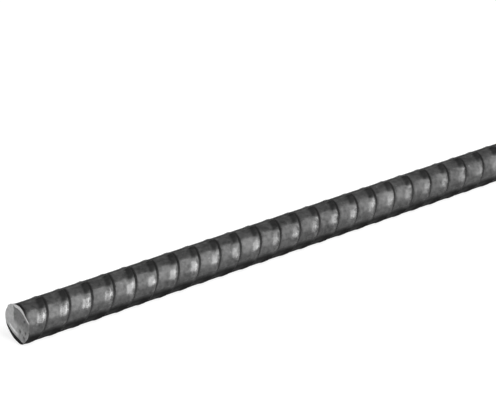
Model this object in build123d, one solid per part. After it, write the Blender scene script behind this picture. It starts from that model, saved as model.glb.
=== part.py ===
from build123d import *

import os
from math import cos, radians, sin, sqrt, tan

# One straight length of deformed reinforcing bar, size 1/2 in, lying level along X.
#
# The bar is rolled in one piece from carbon steel. Its section is a round of the nominal
# diameter, which weighs as much per metre as the real bar, with two low lengthwise ribs
# where the grooves of the two rolls met. Between the near end and the first transverse
# rib lies a short plain stretch, where the bar is only as thick as it is between ribs.
#
# The near end, at -X, is as the shear left it. The blade bit into the lower back of the
# bar and drew the edge down in a narrow curved roll. From there the steel tore across to
# the upper front, and the torn face leans back a few degrees on the way.
# The far end, at +X, is cut square with a small arris.
#
# Frame: X along the bar, Z up, origin on the floor under the middle of the bar.
# Sizes are in millimetres and angles in degrees.

# Bar
bar_length = 609.6  # 24 in stock length
nominal_diameter = 12.7  # 1/2 in, the plain round of equal weight
root_depth = 0.23  # between two transverse ribs, below the nominal round
plain_end_length = 4.2  # from the near end to the first transverse rib

# Lengthwise ribs, one on each side
seam_rib_height = 0.25  # above the nominal round
seam_rib_crest_width = 2.0
seam_rib_root_width = 2.8
seam_rib_lean = 32.3  # of the upper one, from straight up towards the back

# Sheared near end
blade_side = 57.0  # where the blade bit, below the level back side
roll_width = 1.7  # from the bar's side to the straight edge where the roll starts
roll_depth = 0.4  # how far the roll has drawn back at the bar's side
roll_bulge = 0.1  # how far the roll's curve stands above its chord
torn_lean = 4.0  # of the torn face, from square

# Cut far end
arris = 0.4

bar_radius = nominal_diameter / 2
root_radius = bar_radius - root_depth
crest_radius = bar_radius + seam_rib_height
near_end = -bar_length / 2
first_rib = near_end + plain_end_length
bar_axis_height = bar_radius
tool_reach = 2 * nominal_diameter  # how far a cutting tool runs past the bar


def seam_rib():
    """The section of one lengthwise rib, with sloping flanks and a crest round with the bar."""
    foot_height = sqrt(root_radius**2 - (seam_rib_root_width / 2) ** 2)
    flanks = Polygon(
        (-seam_rib_root_width / 2, foot_height),
        (seam_rib_root_width / 2, foot_height),
        (seam_rib_crest_width / 2, crest_radius),
        (-seam_rib_crest_width / 2, crest_radius),
        align=None,
    )
    return flanks & Circle(crest_radius)


def bar_section(round_radius):
    """The section about the bar's axis, with its first axis to the back and its second up."""
    section = Circle(round_radius)
    for half_turn in (0, 180):
        section += Rot(0, 0, half_turn - seam_rib_lean) * seam_rib()
    return section


def across_bar(along):
    """The plane square to the bar at a place along it."""
    return Plane(origin=(along, 0, bar_axis_height), x_dir=(0, 1, 0), z_dir=(1, 0, 0))


def rolled_bar():
    """The bar along its whole length, with its far end cut and its near end still square."""
    shank = extrude(across_bar(first_rib) * bar_section(bar_radius), bar_length - plain_end_length)
    far_rim = shank.faces().sort_by(Axis.X)[-1].edges()
    shank = chamfer(far_rim, length=arris)
    return shank + extrude(across_bar(near_end) * bar_section(root_radius), plain_end_length)


def shorn_off():
    """What the shear took off in front of the near end: all that lies before its outline.

    The outline is seen along the blade's edge. Its first axis runs along the bar and its
    second from the bar's axis to the side where the blade bit.
    """
    outwards = Vector(0, cos(radians(blade_side)), -sin(radians(blade_side)))
    across_blade = Plane(
        origin=(near_end, 0, bar_axis_height),
        x_dir=(1, 0, 0),
        z_dir=Vector(1, 0, 0).cross(outwards),
    )
    start = Vector(0, root_radius - roll_width)
    side = Vector(roll_depth, root_radius)
    chord = side - start
    bulge = Vector(-chord.Y, chord.X).normalized() * roll_bulge
    roll = ThreePointArc(start, start + chord / 2 + bulge, side)
    torn_side = Vector((start.Y + tool_reach) * tan(radians(torn_lean)), -tool_reach)
    beyond = side + chord
    rest = Polyline(side, beyond, (-tool_reach, beyond.Y), (-tool_reach, -tool_reach), torn_side, start)
    return extrude(across_blade * make_face(roll + rest), amount=tool_reach, both=True)


def rebar():
    """The finished bar."""
    return rolled_bar() - shorn_off()


def main():
    os.makedirs("parts", exist_ok=True)
    export_step(rebar(), "parts/rebar.step")


main()
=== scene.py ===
from math import atan2, cos, degrees, hypot, pi, radians, sin, tan

import bmesh
import bpy
from mathutils import Matrix, Vector


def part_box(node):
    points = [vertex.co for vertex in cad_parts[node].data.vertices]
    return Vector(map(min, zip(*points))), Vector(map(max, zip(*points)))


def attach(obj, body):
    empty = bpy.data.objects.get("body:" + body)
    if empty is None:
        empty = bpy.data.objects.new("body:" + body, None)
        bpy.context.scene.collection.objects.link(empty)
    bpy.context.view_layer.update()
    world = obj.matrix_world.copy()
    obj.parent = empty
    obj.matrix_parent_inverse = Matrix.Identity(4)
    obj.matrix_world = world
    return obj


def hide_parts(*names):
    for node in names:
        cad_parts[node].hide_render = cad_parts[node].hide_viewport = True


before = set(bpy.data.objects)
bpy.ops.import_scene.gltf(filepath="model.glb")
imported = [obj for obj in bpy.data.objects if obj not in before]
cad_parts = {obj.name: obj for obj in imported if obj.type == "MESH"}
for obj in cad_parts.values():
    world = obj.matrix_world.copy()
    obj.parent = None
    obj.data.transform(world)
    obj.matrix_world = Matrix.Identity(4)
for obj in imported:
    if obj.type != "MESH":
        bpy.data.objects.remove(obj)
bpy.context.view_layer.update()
low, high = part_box("rebar")
mm = 0.001
nearEnd = low.x
farEnd = high.x
axisHeight = (low.z + high.z) / 2
middle = Vector((0, 0, axisHeight))
print("frame loaded, bar", round((farEnd - nearEnd) / mm, 1), "mm long")


# small helpers

def onlySelect(piece):
    bpy.ops.object.select_all(action="DESELECT")
    piece.select_set(True)
    bpy.context.view_layer.objects.active = piece


def editNew(name):  # names the primitive that was just added and opens it for editing
    piece = bpy.context.object
    piece.name = name
    piece.data.name = name
    bpy.ops.object.transform_apply(location=True, rotation=True, scale=True)
    bpy.ops.object.mode_set(mode="EDIT")
    bpy.ops.mesh.select_mode(type="VERT")
    return piece


def openEdit(piece, kind="VERT"):
    onlySelect(piece)
    bpy.ops.object.mode_set(mode="EDIT")
    bpy.ops.mesh.select_mode(type=kind)
    bpy.ops.mesh.select_all(action="DESELECT")


def closeEdit():
    bpy.ops.object.mode_set(mode="OBJECT")


def pickVertices(piece, wanted):  # selects the vertices whose place answers wanted
    mesh = bmesh.from_edit_mesh(piece.data)
    for vertex in mesh.verts:
        vertex.select = wanted(vertex.co)
    mesh.select_flush_mode()
    bmesh.update_edit_mesh(piece.data)


def pickFaces(piece, wanted):  # selects the faces whose middle and normal answer wanted
    mesh = bmesh.from_edit_mesh(piece.data)
    for face in mesh.faces:
        face.select = wanted(face.calc_center_median(), face.normal)
    bmesh.update_edit_mesh(piece.data)


def softly(reach):  # what lies within reach of the selection follows it, less the further off it is
    return {
        "use_proportional_edit": True,
        "proportional_edit_falloff": "SMOOTH",
        "proportional_size": reach,
    }


def move(along, **options):  # what is selected
    bpy.ops.transform.translate(value=(along, 0, 0), **options)


def widen(factor, **options):  # what is selected, about the bar's axis
    bpy.ops.transform.resize(value=(1, factor, factor), center_override=middle, **options)


def extrude(along):
    bpy.ops.mesh.extrude_region_move(TRANSFORM_OT_translate={"value": (along, 0, 0)})


def addModifier(piece, name, kind, settings):
    modifier = piece.modifiers.new(name, kind)
    for setting, value in settings.items():
        setattr(modifier, setting, value)


def roughen(piece, name, size, strength, depth=2, **settings):  # by a pattern of clouds
    clouds = bpy.data.textures.new(name, "CLOUDS")
    clouds.noise_scale = size
    clouds.noise_depth = depth
    addModifier(piece, name, "DISPLACE", {
        "texture": clouds,
        "texture_coords": "LOCAL",
        "strength": strength,
        "mid_level": 0.5,
        **settings,
    })


def applyAll(piece):
    bpy.context.view_layer.objects.active = piece
    for modifier in list(piece.modifiers):
        bpy.ops.object.modifier_apply(modifier=modifier.name)


# places round the bar

def turnAt(place):  # in degrees: 0 is level towards the camera, 90 straight up
    return degrees(atan2(place.z - axisHeight, -place.y))


def fromAxis(place):
    return hypot(place.y, place.z - axisHeight)


def towards(turn, across, upwards):  # how far a place lies to one side, for numbers and for wires
    return across * -cos(radians(turn)) + upwards * sin(radians(turn))


# the bar

bar = {
    "rootRadius": 6.20 * mm,  # between two transverse ribs
    "crestRadius": 6.73 * mm,  # on a transverse rib
    "seamTurn": 106.5,  # where the upper lengthwise rib is
    "columns": 80,
    "sameColumn": 1,  # degrees by which a vertex may miss its column
    "pitch": 8.457 * mm,  # from rib to rib
    "count": 74,
    "firstCrest": 6.45 * mm,  # from the near end, in the middle of the camera's side
    "ribRise": 8.60 * mm,  # along the bar, from the lower to the upper lengthwise rib
    "ribBow": 1.30 * mm,  # how far the rib's ends fall behind its middle
    "ringWithin": 0.001 * mm,  # along the bar, by which a vertex may miss its ring
    "mergeWithin": 0.002 * mm,
    "smoothAngle": 38,
}
bar["profile"] = [  # millimetres along the bar from the crest's middle, share of the rib's height
    (-4.55, 0.0), (-2.75, 0.0), (-2.35, 0.05), (-1.80, 0.29), (-1.25, 0.55), (-0.70, 0.81),
    (-0.35, 0.95), (0.0, 1.0), (0.40, 1.0), (0.60, 0.94), (0.85, 0.72), (1.45, 0.12),
    (1.75, 0.0), (2.80, 0.0),
]
# the columns next to a lengthwise rib: degrees from its middle, the degrees that they move to,
# least radius, and how much of a transverse rib's height is left there
bar["seam"] = [
    (0, 0, 6.55 * mm, 0.66),
    (4.5, 5.6, 6.55 * mm, 0.68),
    (9.0, 8.7, 6.55 * mm, 0.75),
    (13.5, 10.0, 6.51 * mm, 0.74),
    (18.0, 12.4, 6.24 * mm, 0.84),
    (22.5, 14.2, 6.20 * mm, 0.92),
]
bar["unevenness"] = [  # name, size, strength
    ("waves", 4.5 * mm, 0.10 * mm),
    ("lumps", 1.3 * mm, 0.05 * mm),
]


def fromSeam(turn):  # degrees past the nearer lengthwise rib, or less than 0 before it
    return (turn - bar["seamTurn"] + 90) % 180 - 90


def offSeam(place):
    return abs(fromSeam(turnAt(place)))


def leanAt(turn):  # how far along the bar the ribs have moved; the far side mirrors the near one
    fromFace = (turn - (bar["seamTurn"] - 90) + 180) % 360 - 180
    side = 1 if fromFace > 0 else -1
    share = side * min(abs(fromFace), 180 - abs(fromFace)) / 90
    return bar["ribRise"] / 2 * share - bar["ribBow"] * share**2


def radiusAt(off, height):  # off is the column's degrees from a lengthwise rib
    ribHeight = bar["crestRadius"] - bar["rootRadius"]
    for seamOff, newOff, leastRadius, ribShare in bar["seam"]:
        if abs(off - seamOff) < bar["sameColumn"]:
            return max(leastRadius, bar["rootRadius"] + height * ribShare * ribHeight)
    return bar["rootRadius"] + height * ribHeight


def spreadFrom(turn):  # how far a column moves round the bar, which draws up the lengthwise ribs' flanks
    off = fromSeam(turn)
    for seamOff, newOff, leastRadius, ribShare in bar["seam"]:
        if abs(abs(off) - seamOff) < bar["sameColumn"]:
            return (newOff - seamOff) * (1 if off > 0 else -1)
    return 0


def growRing(piece, radiusNow, height, inRing):  # column by column, then all the rest at once
    seamOffs = [row[0] for row in bar["seam"]]
    furthest = seamOffs[-1] + bar["sameColumn"]
    for off in seamOffs + [90]:
        factor = radiusAt(off, height) / radiusNow(off)
        if abs(factor - 1) < 1e-6:
            continue
        if off < furthest:
            pickVertices(piece, lambda place: inRing(place) and abs(offSeam(place) - off) < bar["sameColumn"])
        else:
            pickVertices(piece, lambda place: inRing(place) and offSeam(place) > furthest)
        widen(factor)


def growPitch():  # one rib and the valley behind it, as a tube that is still square to the bar
    bpy.ops.object.select_all(action="DESELECT")
    crestAt = nearEnd + bar["firstCrest"] - bar["pitch"]
    places = [crestAt + place * mm for place, height in bar["profile"]]
    heights = [height for place, height in bar["profile"]]
    places.append(places[0] + bar["pitch"])
    heights.append(heights[0])
    upright = Matrix.Rotation(pi / 2, 3, "Y") @ Matrix.Rotation(radians(-90 - bar["seamTurn"]), 3, "Z")
    bpy.ops.mesh.primitive_circle_add(
        vertices=bar["columns"],
        radius=bar["rootRadius"],
        location=(places[0], 0, axisHeight),
        rotation=upright.to_euler(),
    )
    pitch = editNew("rebarRibs")
    growRing(pitch, lambda off: bar["rootRadius"], heights[0], lambda place: True)
    bpy.ops.mesh.select_all(action="SELECT")
    for number in range(1, len(places)):
        ring = lambda place: abs(place.x - places[number]) < bar["ringWithin"]
        extrude(places[number] - places[number - 1])
        growRing(pitch, lambda off: radiusAt(off, heights[number - 1]), heights[number], ring)
        pickVertices(pitch, ring)
    return pitch


def leanRibs(pitch):  # from the lengthwise ribs outwards, so that no column moves onto another
    columns = [bar["seamTurn"] + 360 * column / bar["columns"] for column in range(bar["columns"])]
    columns.sort(key=lambda turn: abs(fromSeam(turn)))
    for turn in columns:
        spread = spreadFrom(turn)
        pickVertices(pitch, lambda place: abs((turnAt(place) - turn + 180) % 360 - 180) < bar["sameColumn"])
        move(leanAt(turn + spread))
        if spread:
            bpy.ops.transform.rotate(value=radians(spread), orient_axis="X", center_override=middle)
    closeEdit()


def buildBar():
    piece = growPitch()
    leanRibs(piece)
    onlySelect(piece)
    addModifier(piece, "repeat", "ARRAY", {
        "count": bar["count"],
        "use_relative_offset": False,
        "use_constant_offset": True,
        "constant_offset_displace": (bar["pitch"], 0, 0),
        "use_merge_vertices": True,
        "merge_threshold": bar["mergeWithin"],
    })
    for name, size, strength in bar["unevenness"]:
        roughen(piece, name, size, strength)
    applyAll(piece)
    return piece


rebar = buildBar()
print("ribs made,", len(rebar.data.polygons), "faces")


# the near end, as the shear left it

shear = {
    "bladeTurn": 237.0,  # the side where the blade bit
    "rollStart": 4.20 * mm,  # from the axis to the edge where the roll starts
    "rollDepth": 0.42 * mm,
    "rollSlopes": (0.25, 1.5),  # where it starts, and what is added on the way to the bar's side
    "rollBend": 0.29,  # how far the roll comes in towards the lower tip, per length
    "rollBendStart": 2.2 * mm,
    "tornTurn": 43.0,  # the side that the torn face leans back to
    "tornLean": 5.1,
    "tornMiddle": 0.30 * mm,  # how deep the face lies at the bar's axis
    "tornEdge": 1.85 * mm,  # where the torn part ends towards the back
    "tornFoot": 0.95 * mm,  # where it ends downwards
    "footSlope": 0.18,  # how fast the foot rises towards the back
    "tornDepth": 0.12 * mm,
    "tornEase": (0.18 * mm, 0.55 * mm, 0.10 * mm),  # what each step draws in at the edge, foot and lip
    "lipTurns": (24, 138),  # where the lip starts at the front and ends at the back
    "lipStart": 5.5 * mm,  # from the axis
    "lipHeight": 0.20 * mm,
    "lipStep": 0.13 * mm,  # how much further out each step up starts
    "lipTaper": (4, 3),  # and by how many degrees it is shorter, in front and behind
    "rimStart": 5.55 * mm,
    "rimStep": 0.15 * mm,
    "rimDrop": 0.05 * mm,
}
shear["dents"] = [  # millimetres across, up, reach and depth; the first four get painted shade inside
    (-1.4, -1.9, 1.0, 0.30), (-4.2, -1.4, 0.9, 0.34), (-3.5, -3.3, 0.9, 0.24), (-3.6, 2.3, 0.8, 0.12),
    (-5.7, 2.5, 2.6, 0.34), (-4.6, -4.1, 2.2, -0.14), (5.1, 1.8, 0.8, 0.10),
    (-3.7, -0.6, 0.9, -0.12), (-5.9, -0.6, 0.7, -0.12), (-0.7, -0.2, 0.9, -0.08), (-1.6, -3.2, 0.8, -0.08),
]

cutter = {
    "size": 17 * mm,
    "cells": 92,
    "depth": 24 * mm,
    "pickWithin": 0.14 * mm,  # of a dent's middle, wide enough to find a corner of the grid
    "tearSize": 0.9 * mm,
    "tearStrength": 0.14 * mm,
    "tearMargin": 0.4 * mm,  # the tear keeps off the roll by this much
}


def towardsBlade(place):  # how far towards the blade's side, counted along the roll's bent edge
    bend = shear["rollBend"] * max(0, shear["rollBendStart"] - place.y)
    return towards(shear["bladeTurn"], place.y, place.z - axisHeight) + bend


def behindTorn(along, across, upwards):  # how far behind the torn face's plane, for numbers and wires
    lean = tan(radians(shear["tornLean"]))
    return along - nearEnd - shear["tornMiddle"] - towards(shear["tornTurn"], across, upwards) * lean


def buildCutter():  # a block whose one face is the sheared end, seen from the bar
    bpy.ops.object.select_all(action="DESELECT")
    lean = radians(shear["tornLean"])
    turn = radians(shear["tornTurn"])
    across = Vector((0, -cos(turn), sin(turn)))
    facing = Vector((-cos(lean), 0, 0)) + sin(lean) * across
    edge = facing.cross(across).normalized()
    turned = Matrix((edge.cross(facing), edge, facing)).transposed()
    bpy.ops.mesh.primitive_grid_add(
        x_subdivisions=cutter["cells"],
        y_subdivisions=cutter["cells"],
        size=cutter["size"],
        location=(nearEnd + shear["tornMiddle"], 0, axisHeight),
        rotation=turned.to_euler(),
    )
    block = editNew("cutter")
    shapeRoll(block)
    shapeRim(block)
    shapeLip(block)
    shapeTorn(block)
    shapeDents(block)
    pickVertices(block, lambda place: towardsBlade(place) < shear["rollStart"] - cutter["tearMargin"])
    bpy.ops.object.vertex_group_assign_new()
    block.vertex_groups[0].name = "inside"
    closeEdit()
    roughen(
        block, "tear", cutter["tearSize"], cutter["tearStrength"], depth=4,
        vertex_group="inside", direction="X")
    applyAll(block)
    bpy.ops.object.mode_set(mode="EDIT")
    bpy.ops.mesh.select_all(action="SELECT")
    extrude(-cutter["depth"])
    bpy.ops.mesh.select_all(action="SELECT")
    bpy.ops.mesh.normals_make_consistent(inside=False)
    closeEdit()
    return block


def shapeRoll(block):  # the edge that the blade drew down, steeper towards the bar's side
    steps = 9
    beyond = 4  # more steps, past the bar's side
    reach = bar["rootRadius"] - shear["rollStart"]
    startSlope, addedSlope = shear["rollSlopes"]
    for number in range(steps + beyond):
        share = number / steps
        edge = shear["rollStart"] + share * reach
        pickVertices(block, lambda place: towardsBlade(place) > edge)
        move(shear["rollDepth"] / steps * (startSlope + addedSlope * share))


def shapeRim(block):  # a slightly rounded rim outside the lip
    start, end = shear["lipTurns"]
    for number, share in enumerate((0.1, 0.2, 0.3, 0.4)):
        inner = shear["rimStart"] + number * shear["rimStep"]
        pickVertices(block, lambda place: fromAxis(place) > inner and not start < turnAt(place) < end)
        move(shear["rimDrop"] * share)


def shapeLip(block):  # the burr's lip, which stands a little proud along the upper front
    steps = 3
    for number in range(steps):
        inner = shear["lipStart"] + number * shear["lipStep"]
        first = shear["lipTurns"][0] + number * shear["lipTaper"][0]
        last = shear["lipTurns"][1] - number * shear["lipTaper"][1]
        pickVertices(block, lambda place: first < turnAt(place) < last and fromAxis(place) > inner)
        move(-shear["lipHeight"] / steps)


def shapeTorn(block):  # the torn part lies deeper, in small steps, and its foot slopes down to the camera
    steps = 4
    edgeEase, footEase, lipEase = shear["tornEase"]
    for number in range(steps):
        edge = shear["tornEdge"] - number * edgeEase
        foot = shear["tornFoot"] + number * footEase
        outer = shear["lipStart"] - number * lipEase
        pickVertices(block, lambda place: (
            place.y < edge
            and place.z - axisHeight > foot + shear["footSlope"] * place.y
            and fromAxis(place) < outer))
        move(shear["tornDepth"] / steps)


def shapeDents(block):
    for across, up, reach, depth in shear["dents"]:
        pickVertices(block, lambda place: (
            hypot(place.y - across * mm, place.z - axisHeight - up * mm) < cutter["pickWithin"]))
        move(depth * mm, **softly(reach * mm))


def cutNearEnd(piece):
    block = buildCutter()
    onlySelect(piece)
    addModifier(piece, "shear", "BOOLEAN", {"operation": "DIFFERENCE", "solver": "EXACT", "object": block})
    applyAll(piece)
    bpy.data.objects.remove(block)
    flareLip(piece)


flare = {
    "factor": 1.035,
    "turns": (30, 136),  # round the bar, a little shorter than the lip
    "rimDepth": 0.12 * mm,  # below the root radius, from where the lip is picked
    "width": 0.25 * mm,  # along the bar
    "reach": 0.7 * mm,
}


def flareLip(piece):  # the lip stands out from the bar's side too
    openEdit(piece)
    start, end = flare["turns"]
    pickVertices(piece, lambda place: (
        start < turnAt(place) < end
        and fromAxis(place) > bar["rootRadius"] - flare["rimDepth"]
        and behindTorn(place.x, place.y, place.z - axisHeight) < flare["width"]))
    widen(flare["factor"], **softly(flare["reach"]))
    closeEdit()


# where painted shade darkens the hollow behind the lip
paintedHollowShade = {
    "turn": 96,  # the side of the bar that it is on
    "side": (3.9 * mm, 5.7 * mm),  # where it starts and is whole, from the axis
    "start": (0.25 * mm, 0.55 * mm),  # the same along the bar, from the torn face's plane
    "end": (0.8 * mm, 1.8 * mm),
}


def behindLip(maker, along, across, upwards):  # 1 in the hollow that the shear left behind the lip, where painted shade goes
    behind = behindTorn(along, across, upwards)
    onSide = maker.step(towards(paintedHollowShade["turn"], across, upwards), *paintedHollowShade["side"])
    return maker.step(behind, *paintedHollowShade["start"]) * (1 - maker.step(behind, *paintedHollowShade["end"])) * onSide


# the far end, cut square with a small arris

far = {
    "arris": 0.4 * mm,
    "cutThreshold": 0.0001 * mm,  # small, so that no corner nearby stands in for the cut
    "pickWithin": 0.001 * mm,
}


def cutFarEnd(piece):
    cutAt = farEnd - far["arris"]
    openEdit(piece)
    bpy.ops.mesh.select_all(action="SELECT")
    bpy.ops.mesh.bisect(
        plane_co=(cutAt, 0, axisHeight),
        plane_no=(1, 0, 0),
        clear_outer=True,
        threshold=far["cutThreshold"],
    )
    pickVertices(piece, lambda place: place.x > cutAt - far["pickWithin"])
    bpy.ops.mesh.edge_face_add()
    extrude(far["arris"])
    widen(1 - far["arris"] / bar["crestRadius"])
    closeEdit()


def capOpenStart(piece):  # closes the start of the first pitch, which the shear cuts off
    openEdit(piece)
    bpy.ops.mesh.select_non_manifold()
    bpy.ops.mesh.edge_face_add()
    closeEdit()


cutFarEnd(rebar)
capOpenStart(rebar)
cutNearEnd(rebar)
onlySelect(rebar)
bpy.ops.object.shade_smooth_by_angle(angle=radians(bar["smoothAngle"]))
print("ends cut,", len(rebar.data.polygons), "faces")


# materials

def grey(shade):
    return (shade, shade, shade, 1)


class Wire:  # a shader socket that sums and products can be written with
    def __init__(self, maker, socket):
        self.maker = maker
        self.socket = socket

    def maths(self, operation, first, second):
        return self.maker.node("ShaderNodeMath", {"operation": operation}, {0: first, 1: second})

    def __add__(self, other):
        return self.maths("ADD", self, other)

    def __radd__(self, other):
        return self.maths("ADD", other, self)

    def __sub__(self, other):
        return self.maths("SUBTRACT", self, other)

    def __rsub__(self, other):
        return self.maths("SUBTRACT", other, self)

    def __mul__(self, other):
        return self.maths("MULTIPLY", self, other)

    def __rmul__(self, other):
        return self.maths("MULTIPLY", other, self)


class ShaderMaker:
    def __init__(self, owner):  # a new material, or the world
        owner.use_nodes = True
        self.owner = owner
        self.tree = owner.node_tree
        self.tree.nodes.clear()

    def node(self, kind, settings=None, values=None, out=0):
        made = self.tree.nodes.new(kind)
        for name, value in (settings or {}).items():
            if name == "stops":
                for element, (place, shade) in zip(made.color_ramp.elements, value):
                    element.position = place
                    element.color = grey(shade)
            else:
                setattr(made, name, value)
        for name, value in (values or {}).items():
            if isinstance(value, Wire):
                self.tree.links.new(value.socket, made.inputs[name])
            else:
                made.inputs[name].default_value = value
        return Wire(self, made.outputs[out]) if made.outputs else made

    def place(self):
        return self.node("ShaderNodeTexCoord", out="Object")

    def measure(self):  # how far along the bar, across it and up from its axis
        split = {"Vector": self.place()}
        along, across, height = [self.node("ShaderNodeSeparateXYZ", {}, split, out=axis) for axis in "XYZ"]
        return along, across, height - axisHeight

    def noise(self, size, detail, roughness=0.6):  # size in metres
        return self.node("ShaderNodeTexNoise", {"noise_dimensions": "3D"}, {
            "Vector": self.place(), "Scale": 1 / size, "Detail": detail, "Roughness": roughness})

    def ramp(self, factor, dark, light, limits):  # from dark to light between two limits of factor
        stops = list(zip(limits, (dark, light)))
        return self.node("ShaderNodeValToRGB", {"stops": stops}, {"Fac": factor})

    def blend(self, factor, first, second):  # two colours, on the Mix node's sockets 6 and 7
        values = {"Factor": factor, 6: first, 7: second}
        return self.node("ShaderNodeMix", {"data_type": "RGBA"}, values, out=2)

    def step(self, value, start, end):  # 0 before start, 1 past end
        return self.node("ShaderNodeMapRange", {"interpolation_type": "SMOOTHSTEP"}, {
            "Value": value, "From Min": start, "From Max": end, "To Min": 0.0, "To Max": 1.0})

    def outside(self, across, upwards, inner, outer):  # 0 within the inner radius, 1 past the outer
        return self.step(across * across + upwards * upwards, inner**2, outer**2)

    def larger(self, first, second):
        return self.node("ShaderNodeMath", {"operation": "MAXIMUM"}, {0: first, 1: second})

    def bump(self, height, strength, distance, normal=None):
        values = {"Height": height, "Strength": strength, "Distance": distance}
        if normal:
            values["Normal"] = normal
        return self.node("ShaderNodeBump", {}, values)

    def finish(self, values):
        shader = self.node("ShaderNodeBsdfPrincipled", {}, values)
        self.node("ShaderNodeOutputMaterial", {}, {"Surface": shader})
        return self.owner


scale = {
    "patchSize": 9 * mm,
    "mottleSize": 1.5 * mm,
    "grainSize": 0.35 * mm,
    "pitSize": 1.1 * mm,
    "patchShare": 0.4,  # of the shade; the mottle makes the rest
    "dark": 0.046,
    "light": 0.145,
    "limits": (0.32, 0.68),
    "crest": (6.50 * mm, 6.78 * mm),  # from the axis, where handling has rubbed the ribs
    "rubbedPatches": (0.42, 0.62),
    # painted shade on the ribs' ends along the top, from the axis
    "paintedRibEndShade": (6.24 * mm, 6.48 * mm),
    "topHeight": (4.8 * mm, 5.5 * mm),  # up from the axis
    "topBack": (0.1 * mm, 0.9 * mm),  # the top ends here, towards the back
    "paintedFlankShade": (0.05, 0.28),  # painted shade on the ribs' steep far flanks, by how far the surface faces the far end
    # painted shade, darker towards the bottom; up from the axis
    "paintedUndersideShade": (-2.9 * mm, -0.3 * mm),
    "pits": (0.0, 0.22),
    "mottleBump": (0.42, 0.12 * mm),  # strength, height
    "grainBump": (0.40, 0.04 * mm),
    "pitBump": (0.35, 0.04 * mm),
    "metallic": (0.50, 0.35),  # plain, and what rubbing adds
    "roughness": (0.17, 0.15, 0.3, 0.2),  # plain, and what mottle, hollow and underside add
    "ior": 1.40,
    "tint": 0.15,  # of the gloss, so that the scale stays dark where it turns away
}
scale["marks"] = {  # how much each covers, and its shade; all but the rubbing are painted shade
    "rubbed": (0.50, 0.22),
    "paintedRibEndShade": (0.65, scale["dark"] / 3),
    "paintedFlankShade": (0.60, scale["dark"] / 3),
    "paintedHollowShade": (0.75, 0.004),
    "paintedUndersideShade": (0.95, scale["dark"] / 6),
}


def millScale():  # mottled grey, rubbed on the crests, with painted shade on the rib ends along the top, on the steep far flanks, behind the lip and along the underside
    maker = ShaderMaker(bpy.data.materials.new("millScale"))
    along, across, upwards = maker.measure()
    patch = maker.noise(scale["patchSize"], 3)
    mottle = maker.noise(scale["mottleSize"], 5)
    grain = maker.noise(scale["grainSize"], 3)
    mixed = scale["patchShare"] * patch + (1 - scale["patchShare"]) * mottle
    facing = maker.node("ShaderNodeSeparateXYZ", {}, {
        "Vector": maker.node("ShaderNodeTexCoord", out="Normal")}, out="X")
    onTop = maker.step(upwards, *scale["topHeight"]) * (1 - maker.step(across, *scale["topBack"]))
    onCrest = maker.outside(across, upwards, *scale["crest"])
    masks = {
        "rubbed": onCrest * maker.step(mottle, *scale["rubbedPatches"]) * (1 - onTop),
        # past the rubbing, each mask places painted shade
        "paintedRibEndShade": maker.outside(across, upwards, *scale["paintedRibEndShade"]) * onTop,
        "paintedFlankShade": maker.step(facing, *scale["paintedFlankShade"]),
        "paintedHollowShade": behindLip(maker, along, across, upwards),
        "paintedUndersideShade": 1 - maker.step(upwards, *scale["paintedUndersideShade"]),
    }
    colour = maker.ramp(mixed, scale["dark"], scale["light"], scale["limits"])
    for mark, (cover, shade) in scale["marks"].items():
        colour = maker.blend(masks[mark] * cover, colour, grey(shade))
    pits = maker.node("ShaderNodeTexVoronoi", {}, {"Vector": maker.place(), "Scale": 1 / scale["pitSize"]})
    normal = maker.bump(mottle, *scale["mottleBump"])
    normal = maker.bump(grain, *scale["grainBump"], normal)
    normal = maker.bump(maker.step(pits, *scale["pits"]), *scale["pitBump"], normal)
    plain, byMottle, byHollow, byUnderside = scale["roughness"]
    dull, shine = scale["metallic"]
    return maker.finish({
        "Base Color": colour,
        "Roughness": (
            plain + byMottle * mottle + byHollow * masks["paintedHollowShade"] + byUnderside * masks["paintedUndersideShade"]),
        "Metallic": dull + shine * masks["rubbed"],
        "IOR": scale["ior"],
        "Specular Tint": grey(scale["tint"]),
        "Normal": normal,
    })


sheared = {
    "patchSize": 1.7 * mm,
    "grainSize": 0.7 * mm,
    "fineSize": 0.22 * mm,
    "limits": (0.34, 0.66),
    "torn": (0.196, 0.350),  # the upper part, darkest and lightest
    "low": (0.210, 0.525),  # the lower front
    "wiped": (0.435, 0.667),  # the back, which the blade wiped
    # a burnished ridge, lightened further by a painted highlight
    "ridgeBurnishAndHighlight": 0.95,
    "ridgeBurnishAndHighlightCover": 0.95,
    # painted highlight on the burr's lip
    "paintedLipHighlight": 0.84,
    "paintedLipHighlightCover": 0.9,
    "paintedPitShade": 0.10,
    "paintedPitShadeCover": 0.75,
    "pitRadii": (0.15, 0.8),  # of a dent's reach
    "wander": 2.4 * mm,  # how far the parts' borders stray
    "tornEdge": (-0.15 * mm, 0.20 * mm),  # where the border starts and ends, from the step's own
    "tornFoot": (-1.6 * mm, 0.8 * mm),
    "ridgeInner": (2.5 * mm, 3.15 * mm),  # from the axis towards the blade
    "ridgeOuter": (3.3 * mm, 3.8 * mm),
    "ridgeFront": (-1.4 * mm, 1.6 * mm),  # from the axis towards the back
    "ridgeBack": (3.4 * mm, 4.8 * mm),
    "lipRadii": (5.60 * mm, 5.80 * mm),
    "lipTurn": 62,
    "lipSide": (4.3 * mm, 5.0 * mm),
    "wipedFrom": (-3.6 * mm, 2.6 * mm),  # from the axis towards the back
    "grainBump": (0.55, 0.12 * mm),
    "fineBump": (0.25, 0.03 * mm),
    "metallic": 0.8,
    "roughness": (0.50, 0.12),  # plain, and what the torn part adds and the ridge takes off
}


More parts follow.
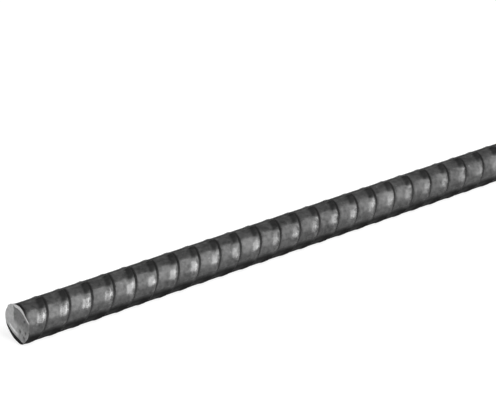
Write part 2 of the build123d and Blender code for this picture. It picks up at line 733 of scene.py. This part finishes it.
def shearedSteel():
    maker = ShaderMaker(bpy.data.materials.new("shearedSteel"))
    across, upwards = maker.measure()[1:]
    patch = maker.noise(sheared["patchSize"], 4)
    grain = maker.noise(sheared["grainSize"], 5, 0.65)
    fine = maker.noise(sheared["fineSize"], 4)
    wander = (patch - 0.5) * sheared["wander"]
    edgeStart, edgeEnd = [shear["tornEdge"] + offset for offset in sheared["tornEdge"]]
    footStart, footEnd = [shear["tornFoot"] + offset for offset in sheared["tornFoot"]]
    edge = maker.step(across + 0.25 * wander, edgeStart, edgeEnd)
    torn = maker.step(upwards - shear["footSlope"] * across + wander, footStart, footEnd) * (1 - edge)
    bend = maker.larger(shear["rollBendStart"] - across, 0.0) * shear["rollBend"]
    nearBlade = towards(shear["bladeTurn"], across, upwards) + bend
    ridgeBurnishAndHighlight = (
        maker.step(nearBlade + 0.2 * wander, *sheared["ridgeInner"])
        * (1 - maker.step(nearBlade, *sheared["ridgeOuter"]))
        * maker.step(across + 0.5 * wander, *sheared["ridgeFront"])
        * (1 - maker.step(across, *sheared["ridgeBack"])))
    lipSide = towards(sheared["lipTurn"], across, upwards) + 0.3 * wander
    paintedLipHighlight = maker.outside(across, upwards, *sheared["lipRadii"]) * maker.step(lipSide, *sheared["lipSide"])
    wiped = maker.step(across + 0.5 * wander, *sheared["wipedFrom"])
    mottled = 0.5 * patch + 0.5 * grain
    tornShade, lowShade, wipedShade = [
        maker.ramp(mottled, *sheared[part], sheared["limits"]) for part in ("torn", "low", "wiped")]
    colour = maker.blend(wiped, lowShade, wipedShade)
    colour = maker.blend(torn, colour, tornShade)
    # the ridge is burnished and lightened further by a painted highlight; the lip gets a painted highlight
    colour = maker.blend(ridgeBurnishAndHighlight * sheared["ridgeBurnishAndHighlightCover"], colour, grey(sheared["ridgeBurnishAndHighlight"]))
    colour = maker.blend(paintedLipHighlight * sheared["paintedLipHighlightCover"], colour, grey(sheared["paintedLipHighlight"]))
    # painted shade inside the first four dents
    for pitAcross, pitUp, reach, depth in shear["dents"][:4]:
        inner, outer = [share * reach * mm for share in sheared["pitRadii"]]
        inside = 1 - maker.outside(across - pitAcross * mm, upwards - pitUp * mm, inner, outer)
        colour = maker.blend(inside * sheared["paintedPitShadeCover"], colour, grey(sheared["paintedPitShade"]))
    normal = maker.bump(grain, *sheared["grainBump"])
    normal = maker.bump(fine, *sheared["fineBump"], normal)
    plain, change = sheared["roughness"]
    return maker.finish({
        "Base Color": colour,
        "Roughness": plain + change * torn - change * ridgeBurnishAndHighlight,
        "Metallic": sheared["metallic"],
        "Normal": normal,
    })


sawn = {
    "dark": 0.238,
    "light": 0.408,
    "limits": (0.3, 0.7),
    "stainSize": 2.5 * mm,
    "markSize": 0.45 * mm,
    "markBump": (0.4, 0.05 * mm),
    "metallic": 0.8,
    "roughness": (0.38, 0.12),  # plain, and what the stain adds
}


def sawnSteel():
    maker = ShaderMaker(bpy.data.materials.new("sawnSteel"))
    marks = maker.node("ShaderNodeTexWave", {"bands_direction": "Z"}, {
        "Vector": maker.place(),
        "Scale": 0.3 / sawn["markSize"],  # the node's bands are about 0.3 apart at scale 1
        "Distortion": 1.5,
        "Detail": 3,
        "Detail Scale": 2,
    })
    stain = maker.noise(sawn["stainSize"], 4)
    plain, byStain = sawn["roughness"]
    return maker.finish({
        "Base Color": maker.ramp(stain, sawn["dark"], sawn["light"], sawn["limits"]),
        "Roughness": plain + byStain * stain,
        "Metallic": sawn["metallic"],
        "Normal": maker.bump(marks, *sawn["markBump"]),
    })


finishes = {
    "nearReach": 2.5 * mm,  # the sheared face lies within this of the near end
    "nearFacing": -0.55,  # and its normals point along the bar at least this much
    "ontoRoll": 0.1 * mm,  # and it ends this far past the roll's edge
    "farFacing": 0.5,  # the sawn face and its arris
}


def dress(piece):  # gives the rolled skin and the two cut ends their finishes
    piece.data.materials.clear()
    for material in (millScale(), shearedSteel(), sawnSteel()):
        piece.data.materials.append(material)
    openEdit(piece, "FACE")
    pickFaces(piece, lambda place, normal: (
        place.x < nearEnd + finishes["nearReach"]
        and normal.x < finishes["nearFacing"]
        and towardsBlade(place) < shear["rollStart"] + finishes["ontoRoll"]))
    piece.active_material_index = 1
    bpy.ops.object.material_slot_assign()
    pickFaces(piece, lambda place, normal: (
        place.x > farEnd - far["arris"] - far["pickWithin"] and normal.x > finishes["farFacing"]))
    piece.active_material_index = 2
    bpy.ops.object.material_slot_assign()
    closeEdit()


dress(rebar)
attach(rebar, "root")
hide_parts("rebar")
print("materials on")


# floor, lamps and camera

studio = {
    "floorSize": 24.0,
    "floorGap": 0.05 * mm,  # under the lowest crests
    "floorGlow": 0.80,  # what the camera's white floor has of its own; the rest is lit
    "floorLit": 0.35,
    "floorPale": 0.80,  # the white that the steel mirrors, all of it lit
    "floorShade": 0.15,  # the floor that throws light back at the bar
    "roomShade": 0.125,  # what the room throws on the bar; the camera sees a white room
    "aim": Vector((nearEnd + 8 * mm, 0, axisHeight)),
}
# name, direction from the aim, direction of the upper side, distance, width, height, watts
studio["lamps"] = [
    ("softbox", (0.41, -0.68, 0.61), (0, 0.67, 0.74), 1.2, 1.07, 1.75, 16.5),
    ("backLamp", (-0.75, 0.15, 0.65), (0.65, 0, 0.75), 1.0, 0.5, 0.5, 2.7),
    ("keyLamp", (0.11, -0.84, 0.53), (0, 0.53, 0.84), 1.2, 0.34, 1.0, 9.0),
]


def buildFloor():
    height = axisHeight - bar["crestRadius"] - studio["floorGap"]
    bpy.ops.object.select_all(action="DESELECT")
    bpy.ops.mesh.primitive_plane_add(size=studio["floorSize"], location=(0, 0, height))
    floor = bpy.context.object
    floor.name = "floor"
    maker = ShaderMaker(bpy.data.materials.new("paleFloor"))
    plain, pale, lit = [
        maker.node("ShaderNodeBsdfDiffuse", {}, {"Color": grey(studio[part])})
        for part in ("floorShade", "floorPale", "floorLit")]
    glow = maker.node("ShaderNodeEmission", {}, {"Strength": studio["floorGlow"]})
    white = maker.node("ShaderNodeAddShader", {}, {0: glow, 1: lit})
    byCamera, byGloss, byGlass = [
        maker.node("ShaderNodeLightPath", out=ray)
        for ray in ("Is Camera Ray", "Is Glossy Ray", "Is Transmission Ray")]
    mirrored = maker.larger(byGloss, byGlass)
    surface = maker.node("ShaderNodeMixShader", {}, {0: mirrored, 1: plain, 2: pale})
    surface = maker.node("ShaderNodeMixShader", {}, {0: byCamera, 1: surface, 2: white})
    maker.node("ShaderNodeOutputMaterial", {}, {"Surface": surface})
    floor.data.materials.append(maker.owner)


def lightRoom():
    world = bpy.data.worlds.new("studio")
    bpy.context.scene.world = world
    maker = ShaderMaker(world)
    byCamera = maker.node("ShaderNodeLightPath", out="Is Camera Ray")
    colour = maker.blend(byCamera, grey(studio["roomShade"]), grey(1))
    light = maker.node("ShaderNodeBackground", {}, {"Color": colour})
    maker.node("ShaderNodeOutputWorld", {}, {"Surface": light})


def hangLamps():
    for name, stands, upper, distance, width, height, watts in studio["lamps"]:
        away = Vector(stands).normalized()
        side = Vector(upper).cross(away).normalized()
        turned = Matrix((side, away.cross(side), away)).transposed()
        bpy.ops.object.select_all(action="DESELECT")
        bpy.ops.object.light_add(
            type="AREA", location=studio["aim"] + away * distance, rotation=turned.to_euler())
        lamp = bpy.context.object
        lamp.name = name
        lamp.data.shape = "RECTANGLE"
        lamp.data.size = width
        lamp.data.size_y = height
        lamp.data.energy = watts
        lamp.visible_camera = False


view = {
    "turn": -37.53,  # from looking straight across the bar
    "down": 25.12,
    "lens": 157.6,
    "sensorWidth": 36,
    "clipStart": 10 * mm,
    "nearEndRight": -72.58 * mm,  # where the near end's middle is, seen from the camera
    "nearEndUp": -37.09 * mm,
    "nearEndAway": 680.21 * mm,
}


def placeCamera():
    turn = radians(view["turn"])
    down = radians(view["down"])
    up = Vector((0, 0, 1))
    right = Vector((cos(turn), sin(turn), 0))
    level = Vector((-sin(turn), cos(turn), 0))
    forward = cos(down) * level - sin(down) * up
    upward = sin(down) * level + cos(down) * up
    fromCamera = (
        view["nearEndRight"] * right + view["nearEndUp"] * upward + view["nearEndAway"] * forward)
    bpy.ops.object.camera_add(
        location=Vector((nearEnd, 0, axisHeight)) - fromCamera, rotation=(pi / 2 - down, 0, turn))
    camera = bpy.context.object
    camera.name = "camera"
    camera.data.lens = view["lens"]
    camera.data.sensor_width = view["sensorWidth"]
    camera.data.clip_start = view["clipStart"]
    bpy.context.scene.camera = camera


buildFloor()
lightRoom()
hangLamps()
placeCamera()
bpy.context.scene.view_settings.view_transform = "Standard"
print("floor, lamps and camera set")
